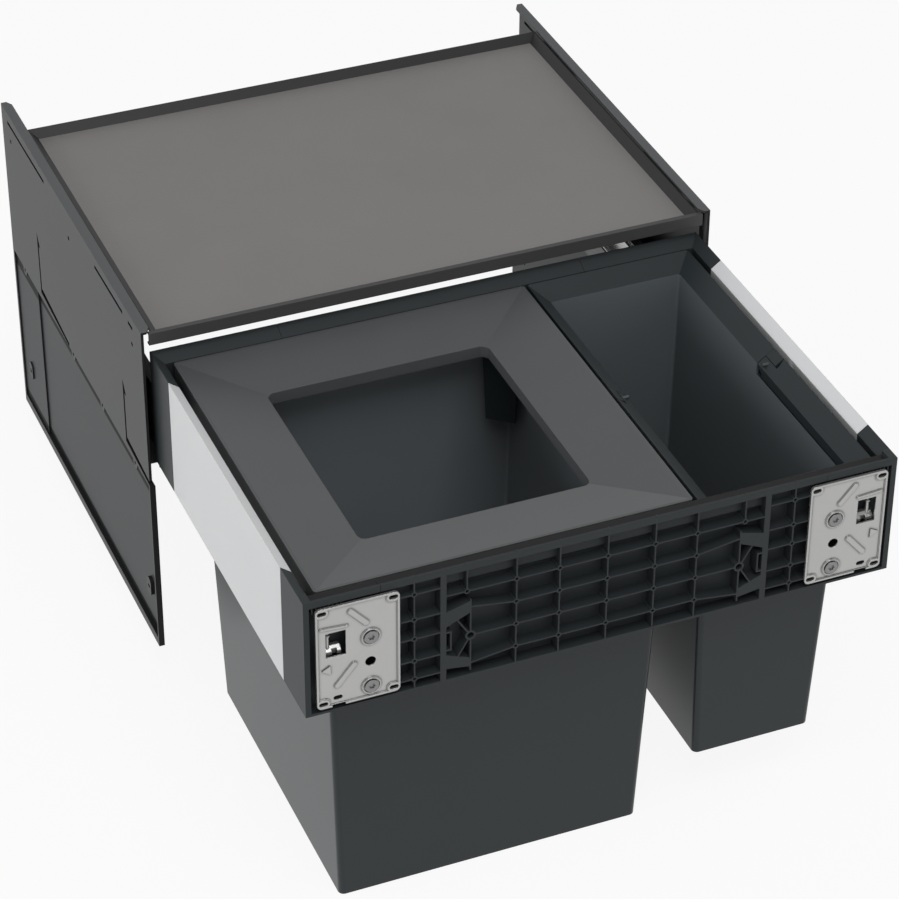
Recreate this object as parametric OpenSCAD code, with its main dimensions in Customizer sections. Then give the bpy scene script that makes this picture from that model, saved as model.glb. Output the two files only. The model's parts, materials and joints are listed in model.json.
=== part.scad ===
/* [Side panels] */
// Outside width over the two side panels
unit_w = 562; // [540:1:600]
// Depth of a side panel from front to back
panel_d = 447; // [440:1:500]
// Height of a side panel
panel_h = 356; // [346:1:376]
// Thickness of a side panel
panel_t = 5.5; // [4.5:0.5:7]
// Thickness of the panel's recessed lower sheet
panel_web_t = 2; // [2:0.5:3]
// Height of the step between the panel's thick top and thin bottom
panel_step = 187; // [180:1:196]
// Width of the inward flange along the panel's top
flange_w = 9.5; // [8:0.5:11]
// Width of the raised rim along the panel's bottom edge
panel_rim_w = 9; // [6:0.5:12]

/* [Panel screws] */
// Radius of a panel screw hole
panel_hole_r = 2.3; // [2:0.1:3]
// Distance from the panel's front edge to its first upper screw hole
panel_hole_front = 29.5; // [24:0.5:37]
// Distance between neighbouring upper screw holes
panel_hole_pitch = 195; // [180:1:200]
// Drop from the panel's top to the upper screw holes
panel_hole_drop = 29.5; // [24:0.5:34]
// Distance from the panel's front edge to its first lower screw hole
low_hole_front = 23; // [20:0.5:30]
// Distance between the two lower screw holes
low_hole_pitch = 392; // [380:1:396]
// Height of the lower screw holes
low_hole_z = 56.5; // [50:0.5:64]

/* [Cover tray] */
// Depth of the tray's flat floor
tray_d = 369; // [350:1:380]
// Distance from the panels' front edges to the tray's flat floor
tray_front = 12.7; // [11:0.1:16]
// Drop from the panels' tops to the tray's floor
tray_drop = 10.3; // [9:0.1:13]
// Thickness of the tray's sheet
tray_t = 1.5; // [1:0.25:2]
// Reach of the tray's sloping rim past its floor
tray_rim_w = 7.5; // [6:0.25:8]
// Height of the tray's sloping rim above its floor
tray_rim_h = 7.5; // [6:0.25:8]
// Height of the trim along the tray's front
trim_h = 12.2; // [10:0.2:14]

/* [Drawer frame] */
// Depth of the drawer frame
frame_d = 396; // [386:1:400]
// Height of the drawer frame
frame_h = 119; // [112:1:126]
// Drop from the panels' tops to the frame's top
frame_drop = 27; // [24:0.5:32]
// Travel of the drawer from closed to fully open
travel = 388; // [370:1:392]
// Distance of the closed frame's front behind the panels' front edges
setback = 0.6; // [0:0.1:4]
// Gap between a side panel and the drawer frame
side_gap = 4.2; // [3:0.1:5]
// Width of the bevel along the frame's top
bevel_w = 9.8; // [8:0.2:11]
// Drop of the bevel along the frame's top
bevel_h = 7.4; // [6:0.2:9]
// Depth of the bins' ledge below the frame's top
ledge_drop = 31.8; // [30:0.2:34]
// Wall of the moulded frame pieces
mould_t = 2.4; // [2:0.1:2.8]
// Wall of the steel side bars
steel_t = 1.2; // [0.8:0.1:1.5]
// Length of a corner piece along the frame's side
corner_len = 53.4; // [45:0.2:60]
// Half width of the middle rear bar
rear_bar_half = 150; // [120:1:170]
// Half width of the ribbed front bar
front_bar_half = 204; // [198:1:207]
// Depth of the ribbed front bar at its top
front_bar_d = 14.5; // [13:0.5:16]

/* [Front plates] */
// Width of a front plate
plate_w = 73.6; // [72:0.2:75]
// Height of a front plate
plate_h = 104; // [102:0.5:106]
// Thickness of a front plate
plate_t = 1.5; // [1.2:0.1:2]
// Height of the pressed rim, pads and beads on a front plate
bead_h = 1.2; // [0.8:0.1:1.6]
// Distance between the corner slots across the plate
slot_pitch_x = 62.5; // [60:0.5:64]
// Distance between the corner slots up the plate
slot_pitch_z = 94.4; // [92:0.2:96]
// Length of a corner slot
slot_len = 8; // [7:0.5:9]
// Half width of a corner slot
slot_r = 2.1; // [1.8:0.1:2.4]

/* [Runners] */
// Height of the runner's outer channel
rail_h = 46; // [44:0.5:48]
// Sheet thickness of the runner's channels
rail_t = 1.2; // [1:0.1:1.4]
// Diameter of the balls between the fixed and the middle channel
big_ball = 4.4; // [4:0.1:4.6]
// Diameter of the balls between the middle and the drawer channel
small_ball = 3.4; // [3:0.1:3.6]
// Number of balls in one row of a cage
balls_in_row = 6; // [4:1:7]

/* [Bins] */
// Depth of the space that the large bin takes below the side panels
bin_drop = 42; // [38:1:46]
// Outside width of the large bin's lift-off frame
bag_frame_w = 341.6; // [330:0.2:342]
// Width of the small bin's rim
small_rim_w = 165; // [155:0.5:165]
// Inward lean of the bins' walls, in millimetres for each millimetre of height
draft = 0.0335; // [0.025:0.0005:0.04]
// Wall thickness of the bins
bin_t = 2; // [1.6:0.1:2.4]
// Width of the sloping rim round a bin's mouth
bin_rim_w = 16.5; // [15:0.25:17]
// Drop of the sloping rim round a bin's mouth
bin_rim_h = 12.5; // [11:0.25:13]
// Height of the small bin's floor above the side panels' bottoms
small_bin_z = 13.3; // [5:0.1:40]
// Width of the sloping faces round the bag frame's opening
funnel_reach = 64.5; // [58:0.5:68]
// Drop of the sloping faces round the bag frame's opening
funnel_drop = 10; // [7:0.5:11]
// Depth of the lip round the bag frame's opening
funnel_lip = 9; // [7:0.5:10]

/* [Hidden] */

// Overrun of every cut past the face it opens
cut = 1;
// Clearance between pieces that lie against each other across a joint
gap = 0.3;
// Seam between neighbouring pieces of the drawer frame
seam = 0.3;
// Clearance of a pin in its hole
pin_fit = 0.05;
// Smallest play round a ball in its race
ball_fit = 0.2;

// Half widths and faces of the side panels
half_w = unit_w / 2;
inner_x = half_w - panel_t;
flange_t = 2.4;
flange_chamfer = 7;
panel_band = 2.6;
panel_rear_rim = 4;
rear_pad_d = 82;
rear_pad_t = 1.8;
panel_skin_t = 2.5;
panel_setback = 10;
// Bosses round the lower screw holes
boss_r = 6;
boss_long = 4;
// Long slots for the tray's side tabs, as shares of the panel's depth
tab_slots_share = [[0.057, 0.086], [0.123, 0.311], [0.676, 0.955]];
tab_slot_h = 3.4;
// Catches moulded in the panel's outer face, as shares of its depth
hook_y_share = [0.145, 0.762];
hook_ramp_share = 0.2;
hook_z_share = 0.722;
hook_w = 9;
hook_h = 14;
groove_w = 4;
groove_t = 3.2;

// Heights of the tray
tray_z = panel_h - tray_drop;
tray_side_gap = 6;
tray_w = unit_w - 2 * panel_t - 2 * (tray_rim_w + tray_side_gap);
tray_lip = 1.5;
tray_tab_t = 1.5;
tray_tab_inset = 3.5;
trim_t = 1.6;
trim_hook = 5;
trim_end = 2;

// Drawer frame faces at rest, where the drawer is open
frame_half = inner_x - side_gap;
frame_front = setback - travel;
frame_rear = frame_front + frame_d;
frame_top = panel_h - frame_drop;
frame_bot = frame_top - frame_h;
ledge_z = frame_top - ledge_drop;
lip_x = frame_half - bevel_w;
rear_bevel_w = 13.6;
rear_ledge_w = 28.6;
front_ledge_d = 30.4;
back_wall_y = frame_front + front_bar_d - mould_t;
top_lip_t = 2.5;
top_drop = 4;
top_wall_t = 2.4;
top_end_w = 7.2;
top_wall_z = frame_top - top_drop - top_wall_t;
comb_pitch = 3.6;
comb_w = 1.2;
comb_h = 7;
comb_setback = 1;
comb_count = 8;
post_w = 5;

// Front plate
plate_edge = 9.4;
plate_x = frame_half - plate_edge - plate_w;
plate_lift = 7;
plate_z = frame_bot + plate_lift;
plate_corner = 4.5;
plate_rim = 2.6;
pad_w = 12;
pad_h = 10;
slot_in_x = (plate_w - slot_pitch_x) / 2;
slot_in_z = (plate_h - slot_pitch_z) / 2;
// Places on the front plate, as shares of its width and height from its outer bottom corner
screw_places_share = [[0.655, 0.118], [0.655, 0.612]];
access_hole_share = [0.65, 0.362];
fifth_slot_share = [0.255, 0.077];
window_share = [[0.12, 0.498], [0.36, 0.74]];
bead_places_share = [[[0.42, 0.91], [0.6, 0.765]], [[0.25, 0.205], [0.45, 0.375]], [[0.07, 0.795],
    [0.37, 0.78]]];
bead_r = 3.2;
thin_bead_r = 1.8;
bead_step = 0.8;
arrow_share = [[0.165, 0.42], [0.065, 0.382], [0.173, 0.33]];
access_hole_r = 4.7;
bottom_notch_share = [0.18, 0.34];
bottom_notch = 2;
screw_boss_r = 9.2;
screw_head_r = 6.2;
screw_head_h = 2;
screw_seat_gap = 1;
screw_r = 2;
screw_len = 12;
socket_r = 2.2;
lobe_r = 0.8;
lobes = 6;

// Height adjuster behind the plate's window
adjuster_in = 22.1;
adjuster_back = 6.4;
adjuster_x = frame_half - adjuster_in;
adjuster_y = frame_front + adjuster_back;
adjuster_r = 1.8;
adjuster_collar_r = 3;
adjuster_collar_t = 1.2;
adjuster_top = plate_z + plate_h * 0.8;
adjuster_bottom = plate_z + plate_h * 0.41;
adjuster_shelf = 2.4;
adjuster_mid_share = 0.65;
block_w = 15;
block_reach = 4;
block_d = 8;
block_h = 7;
block_travel = 2;
block_z = plate_z + plate_h * 0.49;

// Runner channels, from the cabinet's channel inwards
runner_room = 22.6;
seat_x = frame_half - runner_room;
rail_lift = 35;
rail_mid_z = frame_bot + rail_lift;
rail_front = 20;
rail_len = 390;
rail_flange = 9.7;
rail_web_in = 11.6;
rail_web_x = seat_x + rail_web_in;
tunnel_side_gap = 2;
tunnel_top_gap = 3;
middle_len = 378;
middle_gap = ball_fit * 2 + big_ball;
middle_h = rail_h - 2 * rail_t - 2 * middle_gap;
middle_web_gap = 1.6;
middle_web_x = rail_web_x - rail_t - middle_web_gap;
middle_flange = 7.3;
middle_setback = 2;
middle_closed = rail_front + middle_setback;
middle_y = middle_closed - travel / 2;
drawer_gap = ball_fit * 2 + small_ball;
drawer_h = middle_h - 2 * rail_t - 2 * drawer_gap;
drawer_rail_len = 374;
drawer_rail_y = rail_front - travel;
drawer_flange = 4.2;
cage_len = 110;
cage_t = 0.6;
cage_lip = 0.8;
outer_cage_setback = 20;
inner_cage_setback = 7;
outer_cage_y = rail_front + outer_cage_setback;
inner_cage_y = middle_y + inner_cage_setback;
ball_edge = 8;
ball_pitch = (cage_len - 2 * ball_edge) / (balls_in_row - 1);
ball_in = 4.8;
small_ball_in = 3.2;
ball_x = seat_x + ball_in;
small_ball_x = seat_x + small_ball_in;
cage_out = 1.1;
cage_in = 0.5;
cage_lip_w = 1;
inner_cage_lip_w = 0.3;
foot_drop = 12;
foot_z = frame_bot - foot_drop;
foot_h = 36;
// Rail screws, as shares of the stretch in front of the soft close case, and one at the rail's rear end
rail_screw_share = [0.103, 0.547, 0.958];
rail_screw_edge = 5.85;
rail_screw_drop = 12;
rail_screw_z = foot_z - rail_screw_drop;
rail_screw_head_r = 3.6;
rail_screw_head = 1.8;
rail_screw_r = 1.9;
rivet_r = 2;
rivet_head = 0.7;
rivet_share = [0.12, 0.5, 0.85];

// Soft close unit under the cabinet's channel, its catch drawn out at the front of its track
case_len = 150;
case_w = 12;
case_h = 16;
case_t = 1.2;
case_back = 12;
case_y = rail_front + rail_len - case_len - case_back;
rail_screw_places = concat([for (s = rail_screw_share) rail_front + s * (case_y - rail_front)],
    [rail_front + rail_len - rail_screw_edge]);
case_x = inner_x - rail_t - case_w;
case_gap = 1;
case_z = foot_z - case_h - case_gap;
case_mid_x = case_x + case_w / 2;
damper_r = 4.2;
damper_len = 66;
damper_z = case_z + case_t + damper_r + gap;
rod_r = 1.2;
rod_len = 22;
catch_len = 16;
catch_jaw = 4;
catch_front = case_y + case_t + gap + damper_len + rod_len;
catch_slot_w = 6;
catch_travel = 45;
spring_r = 2.2;
spring_wire = 1.2;
spring_pitch = 3;
spring_z = case_z + case_h - spring_r - gap;
closing_pin_r = 2;
closing_pin_len = 4;
closing_pin_in = 3;
closing_pin_x = frame_half - closing_pin_in;
closing_pin_back = 7;
closing_web = 9;

// Bins, measured to the drawer frame
left_rim_gap = 16.6;
right_rim_gap = 16.3;
bin_left_x = -frame_half + left_rim_gap;
small_right_x = frame_half - right_rim_gap;
small_left_x = small_right_x - small_rim_w;
bag_right_x = bin_left_x + bag_frame_w;
rim_rear_gap = 3;
rim_front_gap = 1.2;
bag_setback = 3;
rim_top_drop = 6;
rim_rear = frame_rear - rear_bevel_w - rim_rear_gap;
rim_front = frame_front + front_bar_d + rim_front_gap;
bag_front = rim_front + bag_setback;
rim_top = frame_top - rim_top_drop;
rim_bottom = ledge_z + gap;
mouth_z = rim_top - bin_rim_h;
rim_corner = 3;
bin_corner = 4.5;
floor_corner = 5.5;
right_rim_w = 16;
wall_rear_gap = 1.5;
wall_front_gap = 0.5;
large_wall_right = bag_right_x - right_rim_w;
large_wall_left = bin_left_x + bin_rim_w - bin_t;
wall_rear = rim_rear - bin_rim_w + bin_t - wall_rear_gap;
wall_front = rim_front + bin_rim_w + wall_front_gap;
bag_skirt = 2;
bag_sheet = 2.2;
bag_corner = 8;
big_rim_t = 3.4;
big_rim_z = rim_bottom;
big_rim_top = big_rim_z + big_rim_t;
clip_t = 5;
clip_w = 36;
clip_h = 100;
clip_slot_h = 34;
clip_dx = 4;
clip_dy = 27;
clip_turn = 40;

// Small bin's handle, its pivot and the stepped joint between its arms and the rim
handle_len = 183.7;
handle_end = rim_front + handle_len;
pivot_back = 9.5;
pivot_drop = 9;
pivot_y = handle_end - pivot_back;
pivot_z = rim_top - pivot_drop;
pin_r = 1.6;
step_len = 18.5;
lap_w = bin_rim_w / 2;
ear_r = 9.1;
ear_back = 8.7;
arm_w = bin_rim_w;
arm_t = 2.2;
handle_ledge_t = 2;
handle_lift = 1.6;
sweep_r = norm([step_len - pivot_back, pivot_drop]) + 2 * gap;

// Origin: the middle of the base of the whole object's box
reach = -frame_front + plate_t + bead_h;
front_y = (reach - panel_d) / 2;
base_z = bin_drop;

module in_place() { translate([0, front_y, base_z]) children(); }
module on_left() { mirror([1, 0, 0]) children(); }

// A sheet along the depth whose section is drawn in x and z
module along_y(y0, y1) {
    translate([0, y1, 0]) rotate([90, 0, 0]) linear_extrude(y1 - y0) children();
}

// A sheet along the width whose section is drawn in y and z
module along_x(x0, x1) {
    translate([x0, 0, 0]) rotate([90, 0, 90]) linear_extrude(x1 - x0) children();
}

// A plate drawn in x and z, standing at y0 and t deep
module upright(y0, t) {
    translate([0, y0 + t, 0]) rotate([90, 0, 0]) linear_extrude(t) children();
}

// A box given by two corners
module box(a, b) { translate(a) cube(b - a); }

// A flat rectangle with round corners, built from exact arcs
module round_rect(x0, x1, y0, y1, r) {
    translate([x0 + r, y0]) square([x1 - x0 - 2 * r, y1 - y0]);
    translate([x0, y0 + r]) square([x1 - x0, y1 - y0 - 2 * r]);
    for (x = [x0 + r, x1 - r], y = [y0 + r, y1 - r]) translate([x, y]) circle(r, $fn = 32);
}

// A bar with round ends between two points, its sides at a share of the ends' radius
module stadium(a, b, r, side = 0.95) {
    d = b - a;
    translate(a) circle(r, $fn = 32);
    if (norm(d) > 0) {
        translate(b) circle(r, $fn = 32);
        translate(a) rotate(atan2(d[1], d[0])) translate([0, -r * side]) square([norm(d), 2 * r * side]);
    }
}

// A hole along x
module hole_x(x0, x1, y, z, r) {
    translate([x0, y, z]) rotate([0, 90, 0]) cylinder(h = x1 - x0, r = r, $fn = 40);
}

// A hole along y
module hole_y(y0, y1, x, z, r) {
    translate([x, y1, z]) rotate([90, 0, 0]) cylinder(h = y1 - y0, r = r, $fn = 40);
}

// Right side panel: upper sheet, thin at its two ends, recessed lower sheet, rims, bosses and top flange
module side_panel() {
    recess = panel_t - panel_web_t;
    difference() {
        union() {
            box([half_w - panel_skin_t, 0, panel_step], [half_w, panel_d, panel_h]);
            box([inner_x, panel_setback, panel_step], [half_w, panel_d - panel_setback, panel_h]);
            box([inner_x, 0, 0], [half_w - recess, panel_d, panel_step]);
            box([inner_x, 0, 0], [half_w, panel_d, panel_rim_w]);
            box([inner_x, 0, 0], [half_w, panel_band, panel_step]);
            box([inner_x, panel_d - panel_rear_rim, 0], [half_w, panel_d, panel_step]);
            box([inner_x, panel_d - rear_pad_d, 0], [half_w - recess + rear_pad_t, panel_d, panel_step]);
            for (y = [low_hole_front, low_hole_front + low_hole_pitch])
                panel_boss(y, low_hole_z, boss_long);
            for (y = rail_screw_places) panel_boss(y, rail_screw_z, 0);
            top_flange();
        }
        for (n = [0:2])
            hole_x(inner_x - cut, half_w + cut, panel_hole_front + n * panel_hole_pitch,
                panel_h - panel_hole_drop, panel_hole_r);
        for (y = [low_hole_front, low_hole_front + low_hole_pitch])
            hole_x(inner_x - cut, half_w + cut, y, low_hole_z, panel_hole_r);
        for (y = rail_screw_places)
            hole_x(inner_x - cut, half_w + cut, y, rail_screw_z, rail_screw_r + pin_fit);
        for (s = tab_slots_share) tab_slot(s[0] * panel_d, s[1] * panel_d);
        for (s = hook_y_share) hook_recess(s * panel_d);
    }
}

// Boss on the recessed sheet, level with the panel's outer face
module panel_boss(y, z, long) {
    along_x(inner_x, half_w) stadium([y, z - long], [y, z + long], boss_r);
}

// Inward flange with its two ends cut back
module top_flange() {
    x0 = half_w - flange_w;
    translate([0, 0, panel_h - flange_t]) linear_extrude(flange_t)
        polygon([[half_w, 0], [inner_x, 0], [x0, flange_chamfer],
            [x0, panel_d - flange_chamfer], [inner_x, panel_d], [half_w, panel_d]]);
}

// Slot that takes a tab of the tray
module tab_slot(y0, y1) {
    z = tray_z - tray_t / 2;
    box([inner_x - cut, y0, z - tab_slot_h / 2], [half_w + cut, y1, z + tab_slot_h / 2]);
}

// Shallow recess, groove and ramp of a moulded catch in the outer face
module hook_recess(y) {
    z = panel_h * hook_z_share;
    ramp = panel_d * hook_ramp_share;
    along_x(half_w - groove_t, half_w + cut)
        polygon([[y - hook_w / 2, z - hook_h / 2], [y + hook_w / 2, z + hook_h / 2], [y + hook_w / 2,
            z - hook_h / 2]]);
    along_x(half_w - groove_t, half_w + cut)
        polygon([[y + hook_w / 2, z - hook_h / 2], [y + hook_w / 2 - groove_w, z - hook_h / 2],
            [y + hook_w / 2 - groove_w, panel_step + hook_h], [y - ramp, panel_step + groove_w],
            [y - ramp, panel_step], [y + hook_w / 2, panel_step + hook_h / 2]]);
}

// Cover tray: flat floor, four sloping rims mitred at the corners and the tabs that hang in the panels
module tray() {
    hw = tray_w / 2;
    y0 = tray_front;
    y1 = tray_front + tray_d;
    w = tray_rim_w + tray_lip;
    box([-hw, y0, tray_z - tray_t], [hw, y1, tray_z]);
    for (q = [0, 1]) mirror([q, 0, 0]) intersection() {
        along_y(y0 - tray_rim_w, y1 + w) rim_profile(hw, 1, tray_lip);
        rim_region([[hw - tray_t, y0], [hw, y0], [hw + tray_rim_w, y0 - tray_rim_w],
            [hw + w, y0 - tray_rim_w], [hw + w, y1 + w], [hw, y1], [hw - tray_t, y1]]);
    }
    intersection() {
        along_x(-hw - w, hw + w) rim_profile(y1, 1, tray_lip);
        rim_region([[-hw, y1 - tray_t], [hw, y1 - tray_t], [hw, y1], [hw + w, y1 + w],
            [-hw - w, y1 + w], [-hw, y1]]);
    }
    intersection() {
        along_x(-hw - tray_rim_w, hw + tray_rim_w) rim_profile(y0, -1, 0);
        rim_region([[-hw, y0 + tray_t], [-hw, y0], [-hw - tray_rim_w, y0 - tray_rim_w],
            [hw + tray_rim_w, y0 - tray_rim_w], [hw, y0], [hw, y0 + tray_t]]);
    }
    for (s = tab_slots_share, q = [0, 1]) mirror([q, 0, 0])
        box([hw - cut, s[0] * panel_d + gap, tray_z - tray_t / 2 - tray_tab_t / 2],
            [half_w - tray_tab_inset, min(s[1] * panel_d - gap, y1), tray_z - tray_t / 2 + tray_tab_t / 2]);
}

// Section of a sloping rim that starts at the floor's edge e and rises in the direction dir
module rim_profile(e, dir, lip) {
    far = e + dir * tray_rim_w;
    edge = lip > 0 ? [[far + dir * lip, tray_z + tray_rim_h - tray_t],
        [far + dir * lip, tray_z + tray_rim_h]] : [];
    polygon(concat([[e - dir * tray_t, tray_z], [e - dir * tray_t, tray_z - tray_t], [e, tray_z - tray_t],
        [far, tray_z + tray_rim_h - tray_t]], edge, [[far, tray_z + tray_rim_h], [e, tray_z]]));
}

// Upright prism over an outline, a little taller than the rims
module rim_region(outline) {
    translate([0, 0, tray_z - tray_t - cut]) linear_extrude(tray_rim_h + tray_t + 2 * cut) polygon(outline);
}

// Trim along the tray's front edge, a shallow channel with a hooked lower edge
module trim() {
    top = tray_z + tray_rim_h;
    y0 = tray_front - tray_rim_w - trim_hook;
    along_x(-inner_x + trim_end, inner_x - trim_end)
        polygon([[y0, top - trim_h], [y0, top], [y0 + trim_hook - gap, top],
            [y0 + trim_hook - gap, top - trim_t], [y0 + trim_t, top - trim_t],
            [y0 + trim_t, top - trim_h + trim_t], [y0 + trim_hook, top - trim_h + trim_t],
            [y0 + trim_hook, top - trim_h]]);
}

// Section of a frame side in x and z, open at the bottom
module side_section(t) {
    wx = seat_x - t;
    k = 1.5 * t;
    polygon([[frame_half, frame_bot], [frame_half, frame_top], [lip_x, frame_top - bevel_h],
        [lip_x, ledge_z], [wx, ledge_z], [wx, frame_bot], [seat_x, frame_bot],
        [seat_x, ledge_z - t], [lip_x + t, ledge_z - t], [lip_x + t, frame_top - bevel_h - k + t],
        [frame_half - t, frame_top - k], [frame_half - t, frame_bot]]);
}

// Section of the frame's rear in y and z, open at the bottom
module rear_section(t) {
    y1 = frame_rear;
    yl = y1 - rear_bevel_w;
    yw = y1 - rear_ledge_w;
    k = 1.2 * t;
    polygon([[y1, frame_bot], [y1, frame_top], [yl, frame_top - bevel_h], [yl, ledge_z], [yw, ledge_z],
        [yw, frame_bot], [yw + t, frame_bot], [yw + t, ledge_z - t], [yl + t, ledge_z - t],
        [yl + t, frame_top - bevel_h - k + t], [y1 - t, frame_top - k], [y1 - t, frame_bot]]);
}

module side_bar() {
    along_y(frame_front + corner_len + seam, frame_rear - corner_len - seam) side_section(steel_t);
}

// Rear corner: side and rear walls with a tunnel for the runner and a pin for the catch
module rear_corner() {
    difference() {
        union() {
            along_y(frame_rear - corner_len, frame_rear) side_section(mould_t);
            along_x(rear_bar_half + seam / 2, frame_half) rear_section(mould_t);
        }
        box([seat_x, frame_rear - corner_len - cut, frame_bot - cut],
            [rail_web_x + tunnel_side_gap, frame_rear + cut, rail_mid_z + rail_h / 2 + tunnel_top_gap]);
    }
    box([rail_web_x + 2 * gap, frame_rear - closing_web, frame_bot], [frame_half, frame_rear,
        frame_bot + mould_t]);
    translate([closing_pin_x, frame_rear - closing_pin_back, frame_bot - closing_pin_len])
        cylinder(h = closing_pin_len + mould_t, r = closing_pin_r, $fn = 32);
}

module rear_bar_shape() {
    along_x(-rear_bar_half + seam / 2, rear_bar_half - seam / 2) rear_section(mould_t);
}

// Front corner: side wall, post, comb, plate bosses and the pocket of the height adjuster
module front_corner() {
    x0 = front_bar_half + seam / 2;
    y0 = frame_front;
    difference() {
        union() {
            along_y(back_wall_y, y0 + corner_len) side_section(mould_t);
            box([x0, back_wall_y, frame_bot], [frame_half, back_wall_y + mould_t, frame_top]);
            box([frame_half - post_w, y0, frame_bot], [frame_half, back_wall_y + cut, frame_top]);
            box([x0, y0, top_wall_z], [frame_half, back_wall_y + mould_t, frame_top]);
            box([x0, y0, frame_bot], [frame_half, back_wall_y + cut, frame_bot + mould_t]);
            box([x0, back_wall_y, ledge_z - mould_t], [lip_x, y0 + front_ledge_d, ledge_z]);
            for (p = screw_places_share) hole_y(y0, back_wall_y + cut, plate_px(p[0]), plate_pz(p[1]),
                screw_head_r);
            for (z = [adjuster_top, adjuster_bottom - adjuster_shelf])
                box([adjuster_x - block_w / 2, y0 + gap, z], [adjuster_x + post_w, back_wall_y + cut,
                    z + adjuster_shelf]);
            for (n = [0:comb_count - 1])
                box([frame_half - post_w - comb_pitch * (n + 1), y0 + comb_setback, top_wall_z - comb_h],
                    [frame_half - post_w - comb_pitch * (n + 1) + comb_w, back_wall_y, frame_top]);
        }
        top_recess(x0 - cut, frame_half - top_end_w);
        for (p = screw_places_share)
            hole_y(y0 - cut, back_wall_y + mould_t + 2 * cut, plate_px(p[0]), plate_pz(p[1]),
                screw_r + pin_fit);
        translate([adjuster_x, adjuster_y, adjuster_bottom - adjuster_shelf - cut])
            cylinder(h = adjuster_top - adjuster_bottom + 2 * adjuster_shelf + 2 * cut,
                r = adjuster_r + pin_fit, $fn = 40);
    }
}

// Recess behind the thin lip along the top of the front bar and of its corners
module top_recess(x0, x1) {
    box([x0, frame_front + top_lip_t, frame_top - top_drop],
        [x1, back_wall_y + mould_t + cut, frame_top + cut]);
}

// A place on the right-hand plate, from a share of its width and height
function plate_px(s) = plate_x + plate_w - s * plate_w;
function plate_pz(s) = plate_z + s * plate_h;
function plate_p(s) = [plate_px(s[0]), plate_pz(s[1])];

// One of the four corner slots, and the slot beside the lower outer one
module plate_slot(c) { stadium([c[0] - slot_len / 2 + slot_r, c[1]], [c[0] + slot_len / 2 - slot_r,
    c[1]], slot_r, 1); }

module plate_outline() {
    difference() {
        round_rect(plate_x, plate_x + plate_w, plate_z, plate_z + plate_h, plate_corner);
        translate([plate_px(bottom_notch_share[1]), plate_z - cut])
            square([plate_w * (bottom_notch_share[1] - bottom_notch_share[0]), bottom_notch + cut]);
        plate_openings();
    }
}

module plate_openings() {
    for (x = [slot_in_x, slot_in_x + slot_pitch_x], z = [slot_in_z, slot_in_z + slot_pitch_z])
        plate_slot([plate_x + x, plate_z + z]);
    plate_slot(plate_p(fifth_slot_share));
    for (p = screw_places_share) translate(plate_p(p)) circle(screw_r + pin_fit, $fn = 40);
    translate(plate_p(access_hole_share)) circle(access_hole_r, $fn = 40);
    translate([plate_px(window_share[1][0]), plate_pz(window_share[0][1])])
        square([plate_w * (window_share[1][0] - window_share[0][0]),
            plate_h * (window_share[1][1] - window_share[0][1])]);
}

// Pressed relief of a plate, drawn in by d: rim, corner pads, beads, arrow and screw bosses
module plate_relief(d) {
    difference() {
        union() {
            difference() {
                round_rect(plate_x, plate_x + plate_w, plate_z, plate_z + plate_h, plate_corner);
                round_rect(plate_x + plate_rim - d, plate_x + plate_w - plate_rim + d,
                    plate_z + plate_rim - d, plate_z + plate_h - plate_rim + d, plate_corner);
            }
            for (x = [plate_x, plate_x + plate_w - pad_w + d], z = [plate_z, plate_z + plate_h - pad_h + d])
                round_rect(x, x + pad_w - d, z, z + pad_h - d, plate_corner);
            stadium(plate_p(bead_places_share[0][0]), plate_p(bead_places_share[0][1]), bead_r - d);
            stadium(plate_p(bead_places_share[1][0]), plate_p(bead_places_share[1][1]), bead_r - d);
            stadium(plate_p(bead_places_share[2][0]), plate_p(bead_places_share[2][1]), thin_bead_r - d);
            polygon([for (s = arrow_share) plate_p(s)]);
            for (p = screw_places_share) translate(plate_p(p)) difference() {
                circle(screw_boss_r - d, $fn = 48);
                circle(screw_head_r + screw_seat_gap, $fn = 48);
            }
        }
        translate([plate_px(bottom_notch_share[1]), plate_z - cut])
            square([plate_w * (bottom_notch_share[1] - bottom_notch_share[0]), bottom_notch + cut]);
        plate_openings();
    }
}

module front_plate() {
    upright(frame_front - plate_t, plate_t) plate_outline();
    upright(frame_front - plate_t - bead_h / 2, bead_h / 2) plate_relief(0);
    upright(frame_front - plate_t - bead_h, bead_h / 2) plate_relief(bead_step);
}

// Screw with a low round head and a lobed socket
module plate_screw(x, z) {
    y = frame_front - plate_t;
    difference() {
        union() {
            hole_y(y - screw_head_h, y, x, z, screw_head_r);
            hole_y(y, y + screw_len, x, z, screw_r);
        }
        hole_y(y - screw_head_h - cut, y - screw_head_h * 0.3, x, z, socket_r);
        for (n = [0:lobes - 1])
            hole_y(y - screw_head_h - cut, y - screw_head_h * 0.3, x + socket_r * cos(360 * n / lobes),
                z + socket_r * sin(360 * n / lobes), lobe_r);
    }
}

module plate_screw_pair() { for (p = screw_places_share) plate_screw(plate_px(p[0]), plate_pz(p[1])); }

// Spindle of the height adjuster, with its collar
module adjuster() {
    translate([adjuster_x, adjuster_y, adjuster_bottom - adjuster_shelf])
        cylinder(h = adjuster_top - adjuster_bottom + 2 * adjuster_shelf, r = adjuster_r, $fn = 40);
    translate([adjuster_x, adjuster_y,
        adjuster_bottom + (adjuster_top - adjuster_bottom) * adjuster_mid_share])
        cylinder(h = adjuster_collar_t, r = adjuster_collar_r, $fn = 40);
}

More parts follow.
